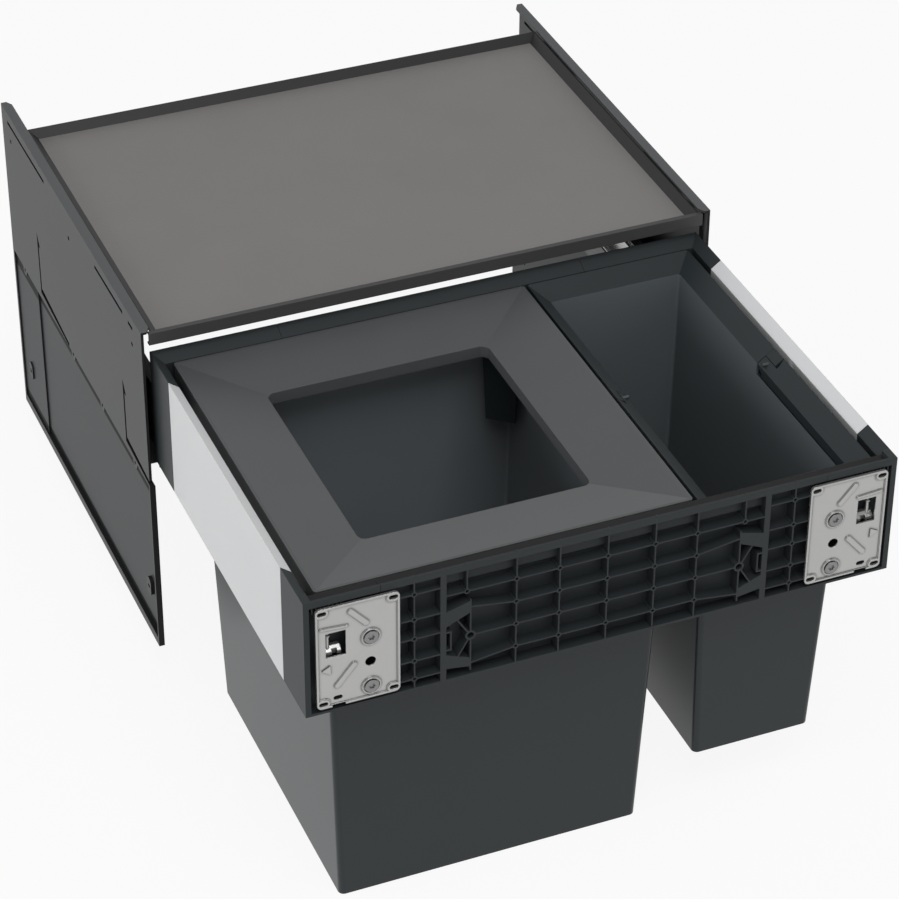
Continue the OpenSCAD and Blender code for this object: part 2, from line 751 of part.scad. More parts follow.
// Block that climbs the spindle, with two lugs and a sloping back
module adjuster_nut() {
    difference() {
        along_x(adjuster_x - block_w + block_reach, adjuster_x + block_reach)
            polygon([[adjuster_y - block_d / 2, block_z], [adjuster_y + block_d / 2, block_z],
                [adjuster_y + block_d / 2, block_z + block_h], [adjuster_y, block_z + block_h],
                [adjuster_y - block_d / 2, block_z + block_h / 2]]);
        translate([adjuster_x, adjuster_y, block_z - cut])
            cylinder(h = block_h + 2 * cut, r = adjuster_r + pin_fit, $fn = 40);
        box([adjuster_x - block_w / 2, adjuster_y - block_d, block_z - cut],
            [adjuster_x - adjuster_collar_r, adjuster_y - block_d / 4, block_z + block_h + cut]);
    }
}

// Rib of the front bar between two places given as shares of its half width and its height
function grid_p(s) = [s[0] * grid_half, frame_bot + s[1] * frame_h];
grid_half = plate_x;
rib_t = 1.5;
node_r = 2.7;
node_hole_r = 1.4;
big_node_r = 4.8;
big_node_hole_r = 3;
strip_w = 5.4;
shallow_floor = 7;
shallow_share = 0.17;
// Ribs as shares, for the right half
col_share = [0, 0.233, 0.441];
row_share = [0.166, 0.367, 0.566, 0.763];
mid_col_share = 0.66;
strip_share = 0.79;
outer_col_share = 0.927;
outer_row_share = [0.101, 0.262, 0.457, 0.628, 0.847];
top_col_share = 0.678;
arm_shares = [[0.776, 0.62], [0.663, 0.67], [0.663, 0.57], [0.776, 0.49]];
foot_arm_shares = [[0.776, 0.24], [0.663, 0.168], [0.663, 0.09], [0.776, 0.118]];
catch_share = [[0.785, 0.275], [0.75, 0.445]];

module rib(a, b) { stadium(grid_p(a), grid_p(b), rib_t / 2); }

module half_grid() {
    for (c = col_share) rib([c, 0], [c, 1]);
    rib([mid_col_share, 0.06], [mid_col_share, 0.68]);
    rib([top_col_share, 0.763], [top_col_share, 1]);
    rib([outer_col_share, 0], [outer_col_share, 1]);
    rib([0, row_share[3]], [strip_share, row_share[3]]);
    rib([0, row_share[2]], [col_share[2], row_share[2]]);
    rib([col_share[2], row_share[2]], [mid_col_share, 0.62]);
    rib([0, row_share[1]], [mid_col_share, row_share[1]]);
    rib([0, row_share[0]], [col_share[2], row_share[0]]);
    rib([col_share[2], row_share[0]], [mid_col_share, 0.12]);
    rib([mid_col_share, 0.365], [0.72, 0.52]);
    rib([mid_col_share, 0.365], [0.72, 0.205]);
    for (r = outer_row_share) rib([strip_share, r], [front_bar_half / grid_half, r]);
    translate([grid_half * strip_share - strip_w / 2, frame_bot]) square([strip_w, frame_h]);
    polygon([for (s = arm_shares) grid_p(s)]);
    polygon([for (s = foot_arm_shares) grid_p(s)]);
    difference() {
        square_between(grid_p(catch_share[0]), grid_p(catch_share[1]), 0);
        square_between(grid_p(catch_share[0]), grid_p(catch_share[1]), rib_t);
    }
    for (c = col_share, r = row_share) translate(grid_p([c, r])) circle(node_r, $fn = 24);
    for (r = outer_row_share) translate(grid_p([outer_col_share, r])) circle(node_r, $fn = 24);
    translate(grid_p([top_col_share, row_share[3]])) circle(node_r, $fn = 24);
    translate(grid_p([mid_col_share, row_share[1]])) circle(big_node_r, $fn = 32);
}

module square_between(a, b, inset) {
    x0 = min(a[0], b[0]) + inset;
    z0 = min(a[1], b[1]) + inset;
    translate([x0, z0]) square([max(a[0], b[0]) - inset - x0, max(a[1], b[1]) - inset - z0]);
}

module grid_holes() {
    for (c = col_share, r = row_share) translate(grid_p([c, r])) circle(node_hole_r, $fn = 24);
    for (r = outer_row_share) translate(grid_p([outer_col_share, r])) circle(node_hole_r, $fn = 24);
    translate(grid_p([top_col_share, row_share[3]])) circle(node_hole_r, $fn = 24);
    translate(grid_p([mid_col_share, row_share[1]])) circle(big_node_hole_r, $fn = 32);
}

module front_bar_shape() {
    y0 = frame_front;
    w = front_bar_half - seam / 2;
    difference() {
        union() {
            upright(y0, back_wall_y - y0 + cut) front_grid();
            box([-w, back_wall_y, frame_bot], [w, back_wall_y + mould_t, frame_top]);
            box([-w, y0 + shallow_floor, frame_top - frame_h * shallow_share],
                [w, back_wall_y + cut, frame_top]);
            box([-w, y0, top_wall_z], [w, back_wall_y + cut, frame_top]);
            box([-w, y0, frame_bot], [w, back_wall_y + cut, frame_bot + mould_t]);
        }
        top_recess(-w - cut, w + cut);
    }
}

// Ribs of the whole front bar with their bored nodes
module front_grid() {
    difference() {
        union() {
            half_grid();
            mirror([1, 0]) half_grid();
        }
        grid_holes();
        mirror([1, 0]) grid_holes();
    }
}

// Ledge behind the front bar, which carries the bins' front rims
module front_ledge_shape() {
    w = front_bar_half - seam / 2;
    box([-w, back_wall_y + mould_t, ledge_z - mould_t], [w, frame_front + front_ledge_d, ledge_z]);
}

// Channel of the runner, open towards the bins, standing at y0
module channel(web_x, h, flange, y0, len) {
    z0 = rail_mid_z - h / 2;
    z1 = rail_mid_z + h / 2;
    x0 = web_x - rail_t - flange;
    box([web_x - rail_t, y0, z0], [web_x, y0 + len, z1]);
    for (z = [z0, z1 - rail_t]) box([x0, y0, z], [web_x, y0 + len, z + rail_t]);
}

module cabinet_rail() {
    difference() {
        union() {
            channel(rail_web_x, rail_h, rail_flange - rail_t, rail_front, rail_len);
            box([rail_web_x - rail_t, rail_front, foot_z], [rail_web_x, rail_front + rail_len, rail_mid_z]);
            box([rail_web_x - rail_t, rail_front, foot_z], [inner_x, rail_front + rail_len, foot_z + rail_t]);
            box([inner_x - rail_t, rail_front, foot_z - foot_h], [inner_x, rail_front + rail_len,
                foot_z + rail_t]);
        }
        for (y = rail_screw_places)
            hole_x(inner_x - rail_t - cut, inner_x + cut, y, rail_screw_z, rail_screw_r + pin_fit);
        box([case_mid_x - catch_slot_w / 2, catch_front - gap, foot_z - cut],
            [case_mid_x + catch_slot_w / 2, catch_front + catch_len + catch_travel, foot_z + rail_t + cut]);
    }
}

module rail_screw_row() {
    for (y = rail_screw_places) {
        hole_x(inner_x - rail_t - rail_screw_head, inner_x - rail_t, y, rail_screw_z, rail_screw_head_r);
        hole_x(inner_x - rail_t, half_w - cut, y, rail_screw_z, rail_screw_r);
    }
}

module middle_rail() { channel(middle_web_x, middle_h, middle_flange, middle_y, middle_len); }

// Drawer channel, its web on the side bar's inner wall and its flanges outwards
module drawer_rail() {
    z0 = rail_mid_z - drawer_h / 2;
    z1 = rail_mid_z + drawer_h / 2;
    y1 = drawer_rail_y + drawer_rail_len;
    difference() {
        union() {
            box([seat_x, drawer_rail_y, z0], [seat_x + rail_t, y1, z1]);
            for (z = [z0, z1 - rail_t])
                box([seat_x, drawer_rail_y, z], [seat_x + rail_t + drawer_flange, y1, z + rail_t]);
        }
        for (s = rivet_share)
            hole_x(seat_x - cut, seat_x + rail_t + cut, drawer_rail_y + drawer_rail_len * s,
                rail_mid_z, rivet_r);
    }
}

module rivet_row() {
    for (s = rivet_share) {
        y = drawer_rail_y + drawer_rail_len * s;
        hole_x(seat_x, seat_x + rail_t, y, rail_mid_z, rivet_r);
        hole_x(seat_x + rail_t, seat_x + rail_t + rivet_head, y, rail_mid_z, rivet_r + rivet_head);
    }
}

// Cage of one ball row pair: a web and two lips with a hole for each ball
module ball_cage(web_x, z_half, lip_x0, y0, d, bx) {
    difference() {
        union() {
            box([web_x - cage_t, y0, rail_mid_z - z_half], [web_x, y0 + cage_len, rail_mid_z + z_half]);
            for (s = [-1, 1])
                box([lip_x0, y0, rail_mid_z + s * z_half - cage_lip / 2], [web_x, y0 + cage_len,
                    rail_mid_z + s * z_half + cage_lip / 2]);
        }
        for (s = [-1, 1], n = [0:balls_in_row - 1])
            translate([bx, y0 + ball_edge + n * ball_pitch, rail_mid_z + s * z_half - cut])
                cylinder(h = 2 * cut, r = d / 2 + ball_fit / 2, $fn = 32);
    }
}

module ball_rows(z_half, y0, d, bx) {
    for (s = [-1, 1], n = [0:balls_in_row - 1])
        translate([bx, y0 + ball_edge + n * ball_pitch, rail_mid_z + s * z_half]) sphere(d / 2, $fn = 24);
}

outer_ball_z = rail_h / 2 - rail_t - middle_gap / 2;
inner_ball_z = middle_h / 2 - rail_t - drawer_gap / 2;
outer_cage_x = middle_web_x + cage_out;
inner_cage_x = middle_web_x - rail_t - cage_in;

module outer_cage() {
    ball_cage(outer_cage_x, outer_ball_z, ball_x - big_ball / 2 - cage_lip_w, outer_cage_y, big_ball, ball_x);
}
module inner_cage() {
    ball_cage(inner_cage_x, inner_ball_z, small_ball_x - small_ball / 2 - inner_cage_lip_w, inner_cage_y,
        small_ball, small_ball_x);
}

// Case of the soft close unit, open along its top
module soft_case() {
    difference() {
        box([case_x, case_y, case_z], [case_x + case_w, case_y + case_len, case_z + case_h]);
        box([case_x + case_t, case_y + case_t, case_z + case_t],
            [case_x + case_w - case_t, case_y + case_len - case_t, case_z + case_h + cut]);
    }
}

module soft_damper() {
    y0 = case_y + case_t + gap;
    hole_y(y0, y0 + damper_len, case_mid_x, damper_z, damper_r);
    hole_y(y0 + damper_len, catch_front, case_mid_x, damper_z, rod_r);
}

// Tension spring between the case's front wall and the catch, its coils drawn as round beads on a thin sleeve
module soft_spring() {
    y0 = case_y + case_t;
    len = catch_front - y0;
    count = floor(len / spring_pitch) - 1;
    translate([case_mid_x, y0, spring_z]) rotate([-90, 0, 0]) rotate_extrude($fn = 32) {
        translate([spring_r - spring_wire * 0.7, 0]) square([spring_wire * 0.4, len]);
        for (n = [0:count])
            translate([spring_r - spring_wire / 2, spring_pitch * (n + 0.5)]) circle(spring_wire / 2,
                $fn = 16);
    }
}

// Catch at the front of its track, its jaw just below the closing pin's path
module soft_catch() {
    w = case_w / 2 - case_t - gap;
    box([case_mid_x - w, catch_front, damper_z - damper_r], [case_mid_x + w, catch_front + catch_len,
        case_z + case_h]);
    for (y = [catch_front, catch_front + catch_len - catch_jaw])
        box([case_mid_x - catch_slot_w / 2 + gap, y, case_z + case_h - cut],
            [case_mid_x + catch_slot_w / 2 - gap, y + catch_jaw, frame_bot - closing_pin_len - gap]);
}

// Solid between two rounded rectangles, the lower at z0 and the upper at z1
module tapered(lo, hi, z0, z1, r0, r1) {
    e = 0.2 * bin_t;
    hull() {
        translate([0, 0, z0]) linear_extrude(e) rounded(lo, r0);
        translate([0, 0, z1 - e]) linear_extrude(e) rounded(hi, r1);
    }
}
// Solid with four sloping sides and sharp corners, carried a little below z0 along its own slope
module sloped(lo, hi, z0, z1) {
    k = bin_t / 2;
    b = lo + (lo - hi) * k / (z1 - z0);
    intersection() {
        along_y(hi[2], hi[3]) polygon([[b[0], z0 - k], [b[1], z0 - k], [hi[1], z1], [hi[0], z1]]);
        along_x(hi[0], hi[1]) polygon([[b[2], z0 - k], [b[3], z0 - k], [hi[3], z1], [hi[2], z1]]);
    }
}

module rounded(b, r) {
    hull() for (x = [b[0] + r, b[1] - r], y = [b[2] + r, b[3] - r]) translate([x, y]) circle(r, $fn = 24);
}
function inset(b, d) = [b[0] + d, b[1] - d, b[2] + d, b[3] - d];

large_wall = [large_wall_left, large_wall_right, wall_front, wall_rear];
small_wall = [small_left_x + bin_rim_w - bin_t, small_right_x - bin_rim_w + bin_t, wall_front, wall_rear];
small_rim = [small_left_x, small_right_x, rim_front, rim_rear];
bag_rim = [bin_left_x, bag_right_x, bag_front, rim_rear];

// Large bin: leaning walls, round floor corners and a flat rim
module large_bin_shape() {
    top = big_rim_top;
    fall = (mouth_z + bin_drop) * draft;
    difference() {
        union() {
            tapered(inset(large_wall, fall), inset(large_wall, (mouth_z - top) * draft), -bin_drop,
                top, floor_corner, bin_corner);
            translate([0, 0, big_rim_z]) linear_extrude(big_rim_t)
                round_rect(bag_rim[0] + cut, bag_rim[1] - cut, bag_rim[2] + cut, bag_rim[3] - cut,
                    2 * rim_corner);
        }
        tapered(inset(large_wall, fall + bin_t), inset(large_wall, (mouth_z - top) * draft + bin_t),
            -bin_drop + bin_t, top + bin_t / 2, floor_corner - bin_t, bin_corner - bin_t);
    }
}

// Lift-off frame of the large bin: sloping faces, opening lip and outer skirt
module bag_frame_shape() {
    open = inset(bag_rim, funnel_reach);
    z0 = big_rim_top + gap;
    z1 = rim_top;
    zo = rim_top - funnel_drop;
    difference() {
        translate([0, 0, z0]) linear_extrude(z1 - z0)
            round_rect(bag_rim[0], bag_rim[1], bag_rim[2], bag_rim[3], rim_corner);
        sloped(open, inset(bag_rim, -cut / 2), zo, z1 + cut / 2);
        translate([0, 0, z0 - cut]) linear_extrude(z1 - z0) round_rect(open[0], open[1], open[2],
            open[3], bag_corner);
        difference() {
            translate([0, 0, z0 - cut]) linear_extrude(z1 - z0 - bag_sheet)
                round_rect(bag_rim[0] + bag_skirt, bag_rim[1] - bag_skirt,
                    bag_rim[2] + bag_skirt, bag_rim[3] - bag_skirt, rim_corner);
            sloped(inset(open, -bag_sheet), bag_rim, zo - bag_sheet, z1 - bag_sheet);
            translate([0, 0, z0 - 2 * cut]) linear_extrude(z1 - z0)
                round_rect(open[0] - bag_sheet, open[1] + bag_sheet, open[2] - bag_sheet,
                    open[3] + bag_sheet, bag_corner);
        }
    }
}

// Height of the bag frame's underside at a distance from its opening
function under_z(d) = rim_top - funnel_drop - bag_sheet + d * funnel_drop / funnel_reach - gap;
// The same above a place along the clip's top, as a share of its width
function clip_top(t) = under_z(max(clip_dx + clip_w * cos(clip_turn) * t,
    clip_dy - clip_w * sin(clip_turn) * t));

// Clip that hangs from the bag frame across the bin's right rear corner
module bag_clip() {
    open = inset(bag_rim, funnel_reach);
    low = clip_top(0) - clip_h;
    translate([open[1] + clip_dx, open[3] + clip_dy, 0]) rotate(-clip_turn) upright(0, clip_t)
        polygon([[0, clip_top(0)], [clip_w * 0.25, clip_top(0.25)], [clip_w * 0.3, clip_top(0) - clip_slot_h],
            [clip_w * 0.45, clip_top(0.45)], [clip_w, clip_top(1)], [clip_w, low + clip_h * 0.3],
            [clip_w, low],
            [clip_w * 0.2, low], [clip_w * 0.12, low + clip_h * 0.55]]);
}

// Small bin: leaning walls, sloping rim behind the handle and a low ledge under it
module small_bin_shape() {
    fall = (mouth_z - small_bin_z) * draft;
    low = rim_bottom + handle_ledge_t;
    mid = (small_rim[0] + small_rim[1]) / 2;
    difference() {
        union() {
            tapered(inset(small_wall, fall), small_wall, small_bin_z, mouth_z, floor_corner, bin_corner);
            translate([0, 0, rim_bottom]) linear_extrude(rim_top - rim_bottom) rim_outline(small_rim, 0);
        }
        difference() {
            translate([0, 0,
                rim_bottom - cut]) linear_extrude(rim_top - rim_bottom - bin_t) rim_outline(small_rim, bin_t);
            sloped(small_wall, small_rim, mouth_z - bin_t, rim_top - bin_t);
            translate([0, 0, rim_bottom - 2 * cut]) linear_extrude(rim_top - rim_bottom)
                square_between([small_wall[0], small_wall[2]], [small_wall[1], small_wall[3]], 0);
        }
        tapered(inset(small_wall, fall + bin_t), inset(small_wall, bin_t - cut * draft),
            small_bin_z + bin_t, mouth_z + cut,
            floor_corner - bin_t, bin_corner - bin_t);
        sloped(inset(small_wall, bin_t), inset(small_rim, -cut / 2), mouth_z, rim_top + cut / 2);
        box([small_rim[0] - cut, rim_front - cut, low], [small_rim[1] + cut, handle_end, rim_top + cut]);
    }
    difference() {
        translate([0, 0, rim_bottom]) linear_extrude(handle_ledge_t) difference() {
            rim_outline(small_rim, 0);
            square_between([small_wall[0] + cut, small_wall[2] + cut], [small_wall[1] - cut,
                small_wall[3] - cut], 0);
            square_between([small_rim[0] - cut, handle_end + cut], [small_rim[1] + cut, rim_rear + cut], 0);
        }
    }
    for (q = [0, 1]) translate([mid, 0, 0]) mirror([q, 0, 0]) translate([-mid, 0, 0]) rim_step();
}

module rim_outline(b, d) { round_rect(b[0] + d, b[1] - d, b[2] + d, b[3] - d, rim_corner); }

// Height of the sloping rim at a distance from the rim's outer edge
function rim_z(d) = rim_top - d * bin_rim_h / bin_rim_w;

// Part of the rim that reaches forward past the handle's arm and carries its pin
module rim_step() {
    x1 = small_rim[1];
    difference() {
        along_y(handle_end - step_len, handle_end + cut)
            polygon([[x1 - lap_w + gap, rim_bottom], [x1, rim_bottom], [x1, rim_top - cut / 4],
                [x1 - lap_w + gap, rim_z(lap_w)]]);
        hole_x(x1 - lap_w, x1 + cut, pivot_y, pivot_z, pin_r);
    }
}

// Section of a handle arm in x and z, on the right
module arm_section() {
    x1 = small_rim[1];
    x0 = x1 - arm_w;
    zb = rim_bottom + handle_ledge_t + handle_lift;
    polygon([[x1, zb], [x1, rim_top], [x0, mouth_z], [x0, zb], [x0 + arm_t, zb], [x0 + arm_t,
        mouth_z - arm_t / 2],
        [x1 - arm_t, rim_top - 1.7 * arm_t], [x1 - arm_t, zb]]);
}

// Round end of an arm, beside the fixed part of the rim
module arm_ear() {
    x1 = small_rim[1];
    x0 = x1 - arm_w;
    zb = rim_bottom + handle_ledge_t + handle_lift;
    intersection() {
        along_y(pivot_y - sweep_r - ear_r, pivot_y + ear_back)
            polygon([[x0, zb], [x0, mouth_z], [x1 - lap_w - gap, rim_z(lap_w + gap)],
                [x1 - lap_w - gap, zb]]);
        along_x(x0 - cut, x1) union() {
            translate([pivot_y, pivot_z]) circle(ear_r, $fn = 64);
            translate([pivot_y - sweep_r - ear_r, zb]) square([sweep_r + ear_r, rim_top - zb]);
        }
    }
}

// Handle: two arms and a front bar, folded forward on the bin's ledge
module handle_shape() {
    y0 = rim_front;
    x0 = small_rim[0];
    x1 = small_rim[1];
    ye = handle_end - step_len - gap;
    mid = (x0 + x1) / 2;
    zb = rim_bottom + handle_ledge_t + handle_lift;
    difference() {
        union() {
            for (q = [0, 1]) translate([mid, 0, 0]) mirror([q, 0, 0]) translate([-mid, 0, 0]) {
                difference() {
                    along_y(y0, ye) arm_section();
                    hole_x(x1 - lap_w - gap, x1 + cut, pivot_y, pivot_z, sweep_r);
                }
                arm_ear();
            }
            along_x(x0, x1)
                polygon([[y0, zb], [y0, rim_top], [y0 + arm_w, mouth_z], [y0 + arm_w, zb],
                    [y0 + arm_w - arm_t, zb],
                    [y0 + arm_w - arm_t, mouth_z - arm_t / 2], [y0 + arm_t, rim_top - 1.7 * arm_t],
                    [y0 + arm_t, zb]]);
        }
        hole_x(x0 - cut, x0 + arm_w + cut, pivot_y, pivot_z, pin_r + pin_fit);
        hole_x(x1 - arm_w - cut, x1 + cut, pivot_y, pivot_z, pin_r + pin_fit);
    }
}

module handle_pin_pair() {
    hole_x(small_rim[1] - arm_w + gap, small_rim[1] - gap, pivot_y, pivot_z, pin_r);
    hole_x(small_rim[0] + gap, small_rim[0] + arm_w - gap, pivot_y, pivot_z, pin_r);
}

// Named pieces, each in its place
module left_side_panel() { color("dimgray") in_place() on_left() side_panel(); }
module right_side_panel() { color("dimgray") in_place() side_panel(); }
module cover_tray() { color("gray") in_place() tray(); }
module tray_front_trim() { color([0.2, 0.2, 0.2]) in_place() trim(); }
module left_cabinet_rail() { color([0.25, 0.25, 0.26]) in_place() on_left() cabinet_rail(); }
module right_cabinet_rail() { color([0.25, 0.25, 0.26]) in_place() cabinet_rail(); }
module rail_screws() {
    color("silver") in_place() {
        rail_screw_row();
        on_left() rail_screw_row();
    }
}
module left_soft_close_case() { color([0.3, 0.3, 0.3]) in_place() on_left() soft_case(); }
module right_soft_close_case() { color([0.3, 0.3, 0.3]) in_place() soft_case(); }
module left_soft_close_damper() { color("silver") in_place() on_left() soft_damper(); }
module right_soft_close_damper() { color("silver") in_place() soft_damper(); }
module left_soft_close_catch() { color("whitesmoke") in_place() on_left() soft_catch(); }
module right_soft_close_catch() { color("whitesmoke") in_place() soft_catch(); }
module left_closing_spring() { color("silver") in_place() on_left() soft_spring(); }
module right_closing_spring() { color("silver") in_place() soft_spring(); }
module left_outer_ball_cage() { color("gainsboro") in_place() on_left() outer_cage(); }
module right_outer_ball_cage() { color("gainsboro") in_place() outer_cage(); }
module left_outer_balls() { color("silver") in_place() on_left() ball_rows(outer_ball_z, outer_cage_y,
    big_ball, ball_x); }
module right_outer_balls() { color("silver") in_place() ball_rows(outer_ball_z, outer_cage_y, big_ball,
    ball_x); }
module left_middle_rail() { color("silver") in_place() on_left() middle_rail(); }
module right_middle_rail() { color("silver") in_place() middle_rail(); }
module left_inner_ball_cage() { color("gainsboro") in_place() on_left() inner_cage(); }
module right_inner_ball_cage() { color("gainsboro") in_place() inner_cage(); }
module left_inner_balls() { color("silver") in_place() on_left() ball_rows(inner_ball_z, inner_cage_y,
    small_ball, small_ball_x); }
module right_inner_balls() { color("silver") in_place() ball_rows(inner_ball_z, inner_cage_y,
    small_ball, small_ball_x); }
module left_drawer_rail() { color("silver") in_place() on_left() drawer_rail(); }
module right_drawer_rail() { color("silver") in_place() drawer_rail(); }
module rail_rivets() {
    color("silver") in_place() {
        rivet_row();
        on_left() rivet_row();
    }
}
module left_side_bar() { color("whitesmoke") in_place() on_left() side_bar(); }
module right_side_bar() { color("whitesmoke") in_place() side_bar(); }
module rear_bar() { color([0.25, 0.26, 0.27]) in_place() rear_bar_shape(); }
module left_rear_corner() { color([0.25, 0.26, 0.27]) in_place() on_left() rear_corner(); }
module right_rear_corner() { color([0.25, 0.26, 0.27]) in_place() rear_corner(); }
module front_bar() { color([0.22, 0.24, 0.25]) in_place() front_bar_shape(); }
module front_bar_ledge() { color([0.22, 0.24, 0.25]) in_place() front_ledge_shape(); }
module left_front_corner() { color([0.25, 0.26, 0.27]) in_place() on_left() front_corner(); }
module right_front_corner() { color([0.25, 0.26, 0.27]) in_place() front_corner(); }
module left_front_plate() { color("silver") in_place() on_left() front_plate(); }
module right_front_plate() { color("silver") in_place() front_plate(); }
module plate_screws() {
    color("lightgray") in_place() {
        plate_screw_pair();
        on_left() plate_screw_pair();
    }
}
module left_height_adjuster() { color("silver") in_place() on_left() adjuster(); }
module right_height_adjuster() { color("silver") in_place() adjuster(); }
module left_adjuster_block() { color("silver") in_place() on_left() adjuster_nut(); }
module right_adjuster_block() { color("silver") in_place() adjuster_nut(); }
module large_bin() { color([0.24, 0.26, 0.27]) in_place() large_bin_shape(); }
module bag_frame() { color([0.4, 0.4, 0.41]) in_place() bag_frame_shape(); }
module left_bag_clip() {
    mid = (bag_rim[0] + bag_rim[1]) / 2;
    color([0.2, 0.22, 0.23]) in_place() translate([mid, 0, 0]) mirror([1, 0, 0]) translate([-mid, 0,
        0]) bag_clip();
}
module right_bag_clip() { color([0.2, 0.22, 0.23]) in_place() bag_clip(); }
module small_bin() { color([0.24, 0.26, 0.27]) in_place() small_bin_shape(); }
module small_bin_handle() { color([0.26, 0.28, 0.28]) in_place() handle_shape(); }
module handle_pins() { color("silver") in_place() handle_pin_pair(); }

left_side_panel();
right_side_panel();
cover_tray();
tray_front_trim();
left_cabinet_rail();
right_cabinet_rail();
rail_screws();
left_soft_close_case();
right_soft_close_case();
left_soft_close_damper();
right_soft_close_damper();
left_soft_close_catch();
right_soft_close_catch();
left_closing_spring();
right_closing_spring();
left_outer_ball_cage();
right_outer_ball_cage();
left_outer_balls();
right_outer_balls();
left_middle_rail();
right_middle_rail();
left_inner_ball_cage();
right_inner_ball_cage();
left_inner_balls();
right_inner_balls();
left_drawer_rail();
right_drawer_rail();
rail_rivets();
left_side_bar();
right_side_bar();
rear_bar();
left_rear_corner();
right_rear_corner();
front_bar();
front_bar_ledge();
left_front_corner();
right_front_corner();
left_front_plate();
right_front_plate();
plate_screws();
left_height_adjuster();
right_height_adjuster();
left_adjuster_block();
right_adjuster_block();
large_bin();
bag_frame();
left_bag_clip();
right_bag_clip();
small_bin();
small_bin_handle();
handle_pins();
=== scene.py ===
import json
import math

import bpy
from mathutils import Matrix, Vector

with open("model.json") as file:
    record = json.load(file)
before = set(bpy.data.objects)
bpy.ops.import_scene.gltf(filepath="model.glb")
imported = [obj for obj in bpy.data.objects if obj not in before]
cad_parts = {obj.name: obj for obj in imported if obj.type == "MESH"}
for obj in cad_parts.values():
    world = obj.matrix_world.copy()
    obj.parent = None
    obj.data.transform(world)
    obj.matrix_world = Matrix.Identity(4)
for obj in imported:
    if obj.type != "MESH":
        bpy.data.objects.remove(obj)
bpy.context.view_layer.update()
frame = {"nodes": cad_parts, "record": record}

# Camera, solved from the photograph: place, turn and lens
CAMERA_PLACE = Vector((-0.95957, -2.38416, 2.00595))
CAMERA_AZIMUTH = math.radians(-22.505)
CAMERA_ELEVATION = math.radians(35.424)
CAMERA_ROLL = math.radians(0.265)
CAMERA_LENS = 131.6
SENSOR_WIDTH = 36.0
CAMERA_NEAR = 0.05
CAMERA_FAR = 50.0

# Base colours, linear
PANEL_COLOUR = (0.034, 0.035, 0.037)
TRAY_COLOUR = (0.150, 0.142, 0.139)
# Painted light: the side panels' up-facing top faces get this lighter copy of the panel colour
PANEL_TOP_LIT_COLOUR = (0.070, 0.073, 0.075)
WEB_COLOUR = (0.027, 0.029, 0.031)
# Painted shade: dark colour for the side panels' faces that do not face sideways and for the floor of the recess
# behind the front bar's lip
PAINTED_SHADE_COLOUR = (0.012, 0.012, 0.013)
TRIM_COLOUR = (0.042, 0.042, 0.043)
RIM_COLOUR = (0.016, 0.016, 0.017)
RAIL_COLOUR = (0.045, 0.048, 0.050)
ZINC_COLOUR = (0.430, 0.428, 0.422)
SCREW_COLOUR = (0.240, 0.240, 0.240)
STEEL_COLOUR = (0.720, 0.720, 0.730)
CAGE_COLOUR = (0.560, 0.560, 0.540)
BAR_COLOUR = (0.530, 0.536, 0.542)
FRAME_COLOUR = (0.022, 0.026, 0.028)
BIN_COLOUR = (0.019, 0.024, 0.026)
# Painted light: lighter copies of the bin colour for the inner faces of the bins
BIN_INSIDE_LIT_COLOUR = (0.140, 0.156, 0.166)
SMALL_INSIDE_LIT_COLOUR = (0.088, 0.100, 0.106)
BAG_FRAME_COLOUR = (0.060, 0.063, 0.065)
CASE_COLOUR = (0.070, 0.070, 0.075)
FLOOR_COLOUR = (0.650, 0.650, 0.650)
FLOOR_ROUGHNESS = 0.9
FLOOR_HALF = 14.0
FLOOR_DROP = 0.0005
FLOOR_WHITE_SHARE = 0.90

# Lights: name, place, width and height in metres, and power in watts, all turned to one point
LIGHT_TARGET = (0.0, 0.0, 0.25)
LIGHTS = [
    ("key_light", (-2.7, 0.3, 1.0), (2.0, 1.2), 26.0),
    ("top_light", (-0.3, -1.6, 3.0), (1.8, 1.8), 54.0),
    ("right_light", (2.6, -0.4, 1.5), (1.6, 1.6), 8.0),
]

# Sky: bright low down and dimmer above; the ends of the change are heights of the unit direction
SKY_LOW_STRENGTH = 1.0
SKY_HIGH_STRENGTH = 0.40
SKY_LOW_END = 0.20
SKY_HIGH_START = 0.65

# Uneven colour of a surface: pattern scale and detail
PATCH_SCALE = 14.0
PATCH_DETAIL = 3.0

# Fine grain of the plastics and paints: pattern scale, detail and bump depth in metres
GRAIN_SCALE = 900.0
GRAIN_DETAIL = 2.0
GRAIN_DEPTH = 0.00004
TRAY_GRAIN_SCALE = 420.0
TRAY_GRAIN_DEPTH = 0.0002

# Soft edges that the shader rounds: radius in metres and number of samples
EDGE_RADIUS = 0.0006
ZINC_EDGE_RADIUS = 0.0010
EDGE_SAMPLES = 4

# Choice of faces: least step, depth of a bin's rim, of a panel's recess and of the bar's recess in metres, the parts
# of a unit normal that make a face steep or flat, and the digits by which faces count as one sheet
FACE_STEP = 0.0002
STEEP = 0.5
FLAT = 0.95
RIM_DEPTH = 0.016
PANEL_RECESS = 0.0005
BAR_RECESS = 0.006
SHEET_DIGITS = 5

# Painted shade in bands on a side panel's recessed sheet: height under the step, height over the bottom rim, soft
# end, in metres, and how dark they are
BAND_HEIGHT = 0.0145
LOW_BAND_HEIGHT = 0.008
BAND_END = 0.002
BAND_SHADE = 0.20

# Finish of the recessed sheet
WEB_ROUGHNESS = 0.50
WEB_SPECULAR = 0.20

# Painted shade at the foot of the steps of a pressed plate: reach in metres, and how open it is and how dark it gets
CORNER_REACH = 0.003
CORNER_SAMPLES = 8
CORNER_OPEN_LOW = 0.55
CORNER_SHADE = 0.35


def node_tree(material):
    material.use_nodes = True
    return material.node_tree.nodes, material.node_tree.links


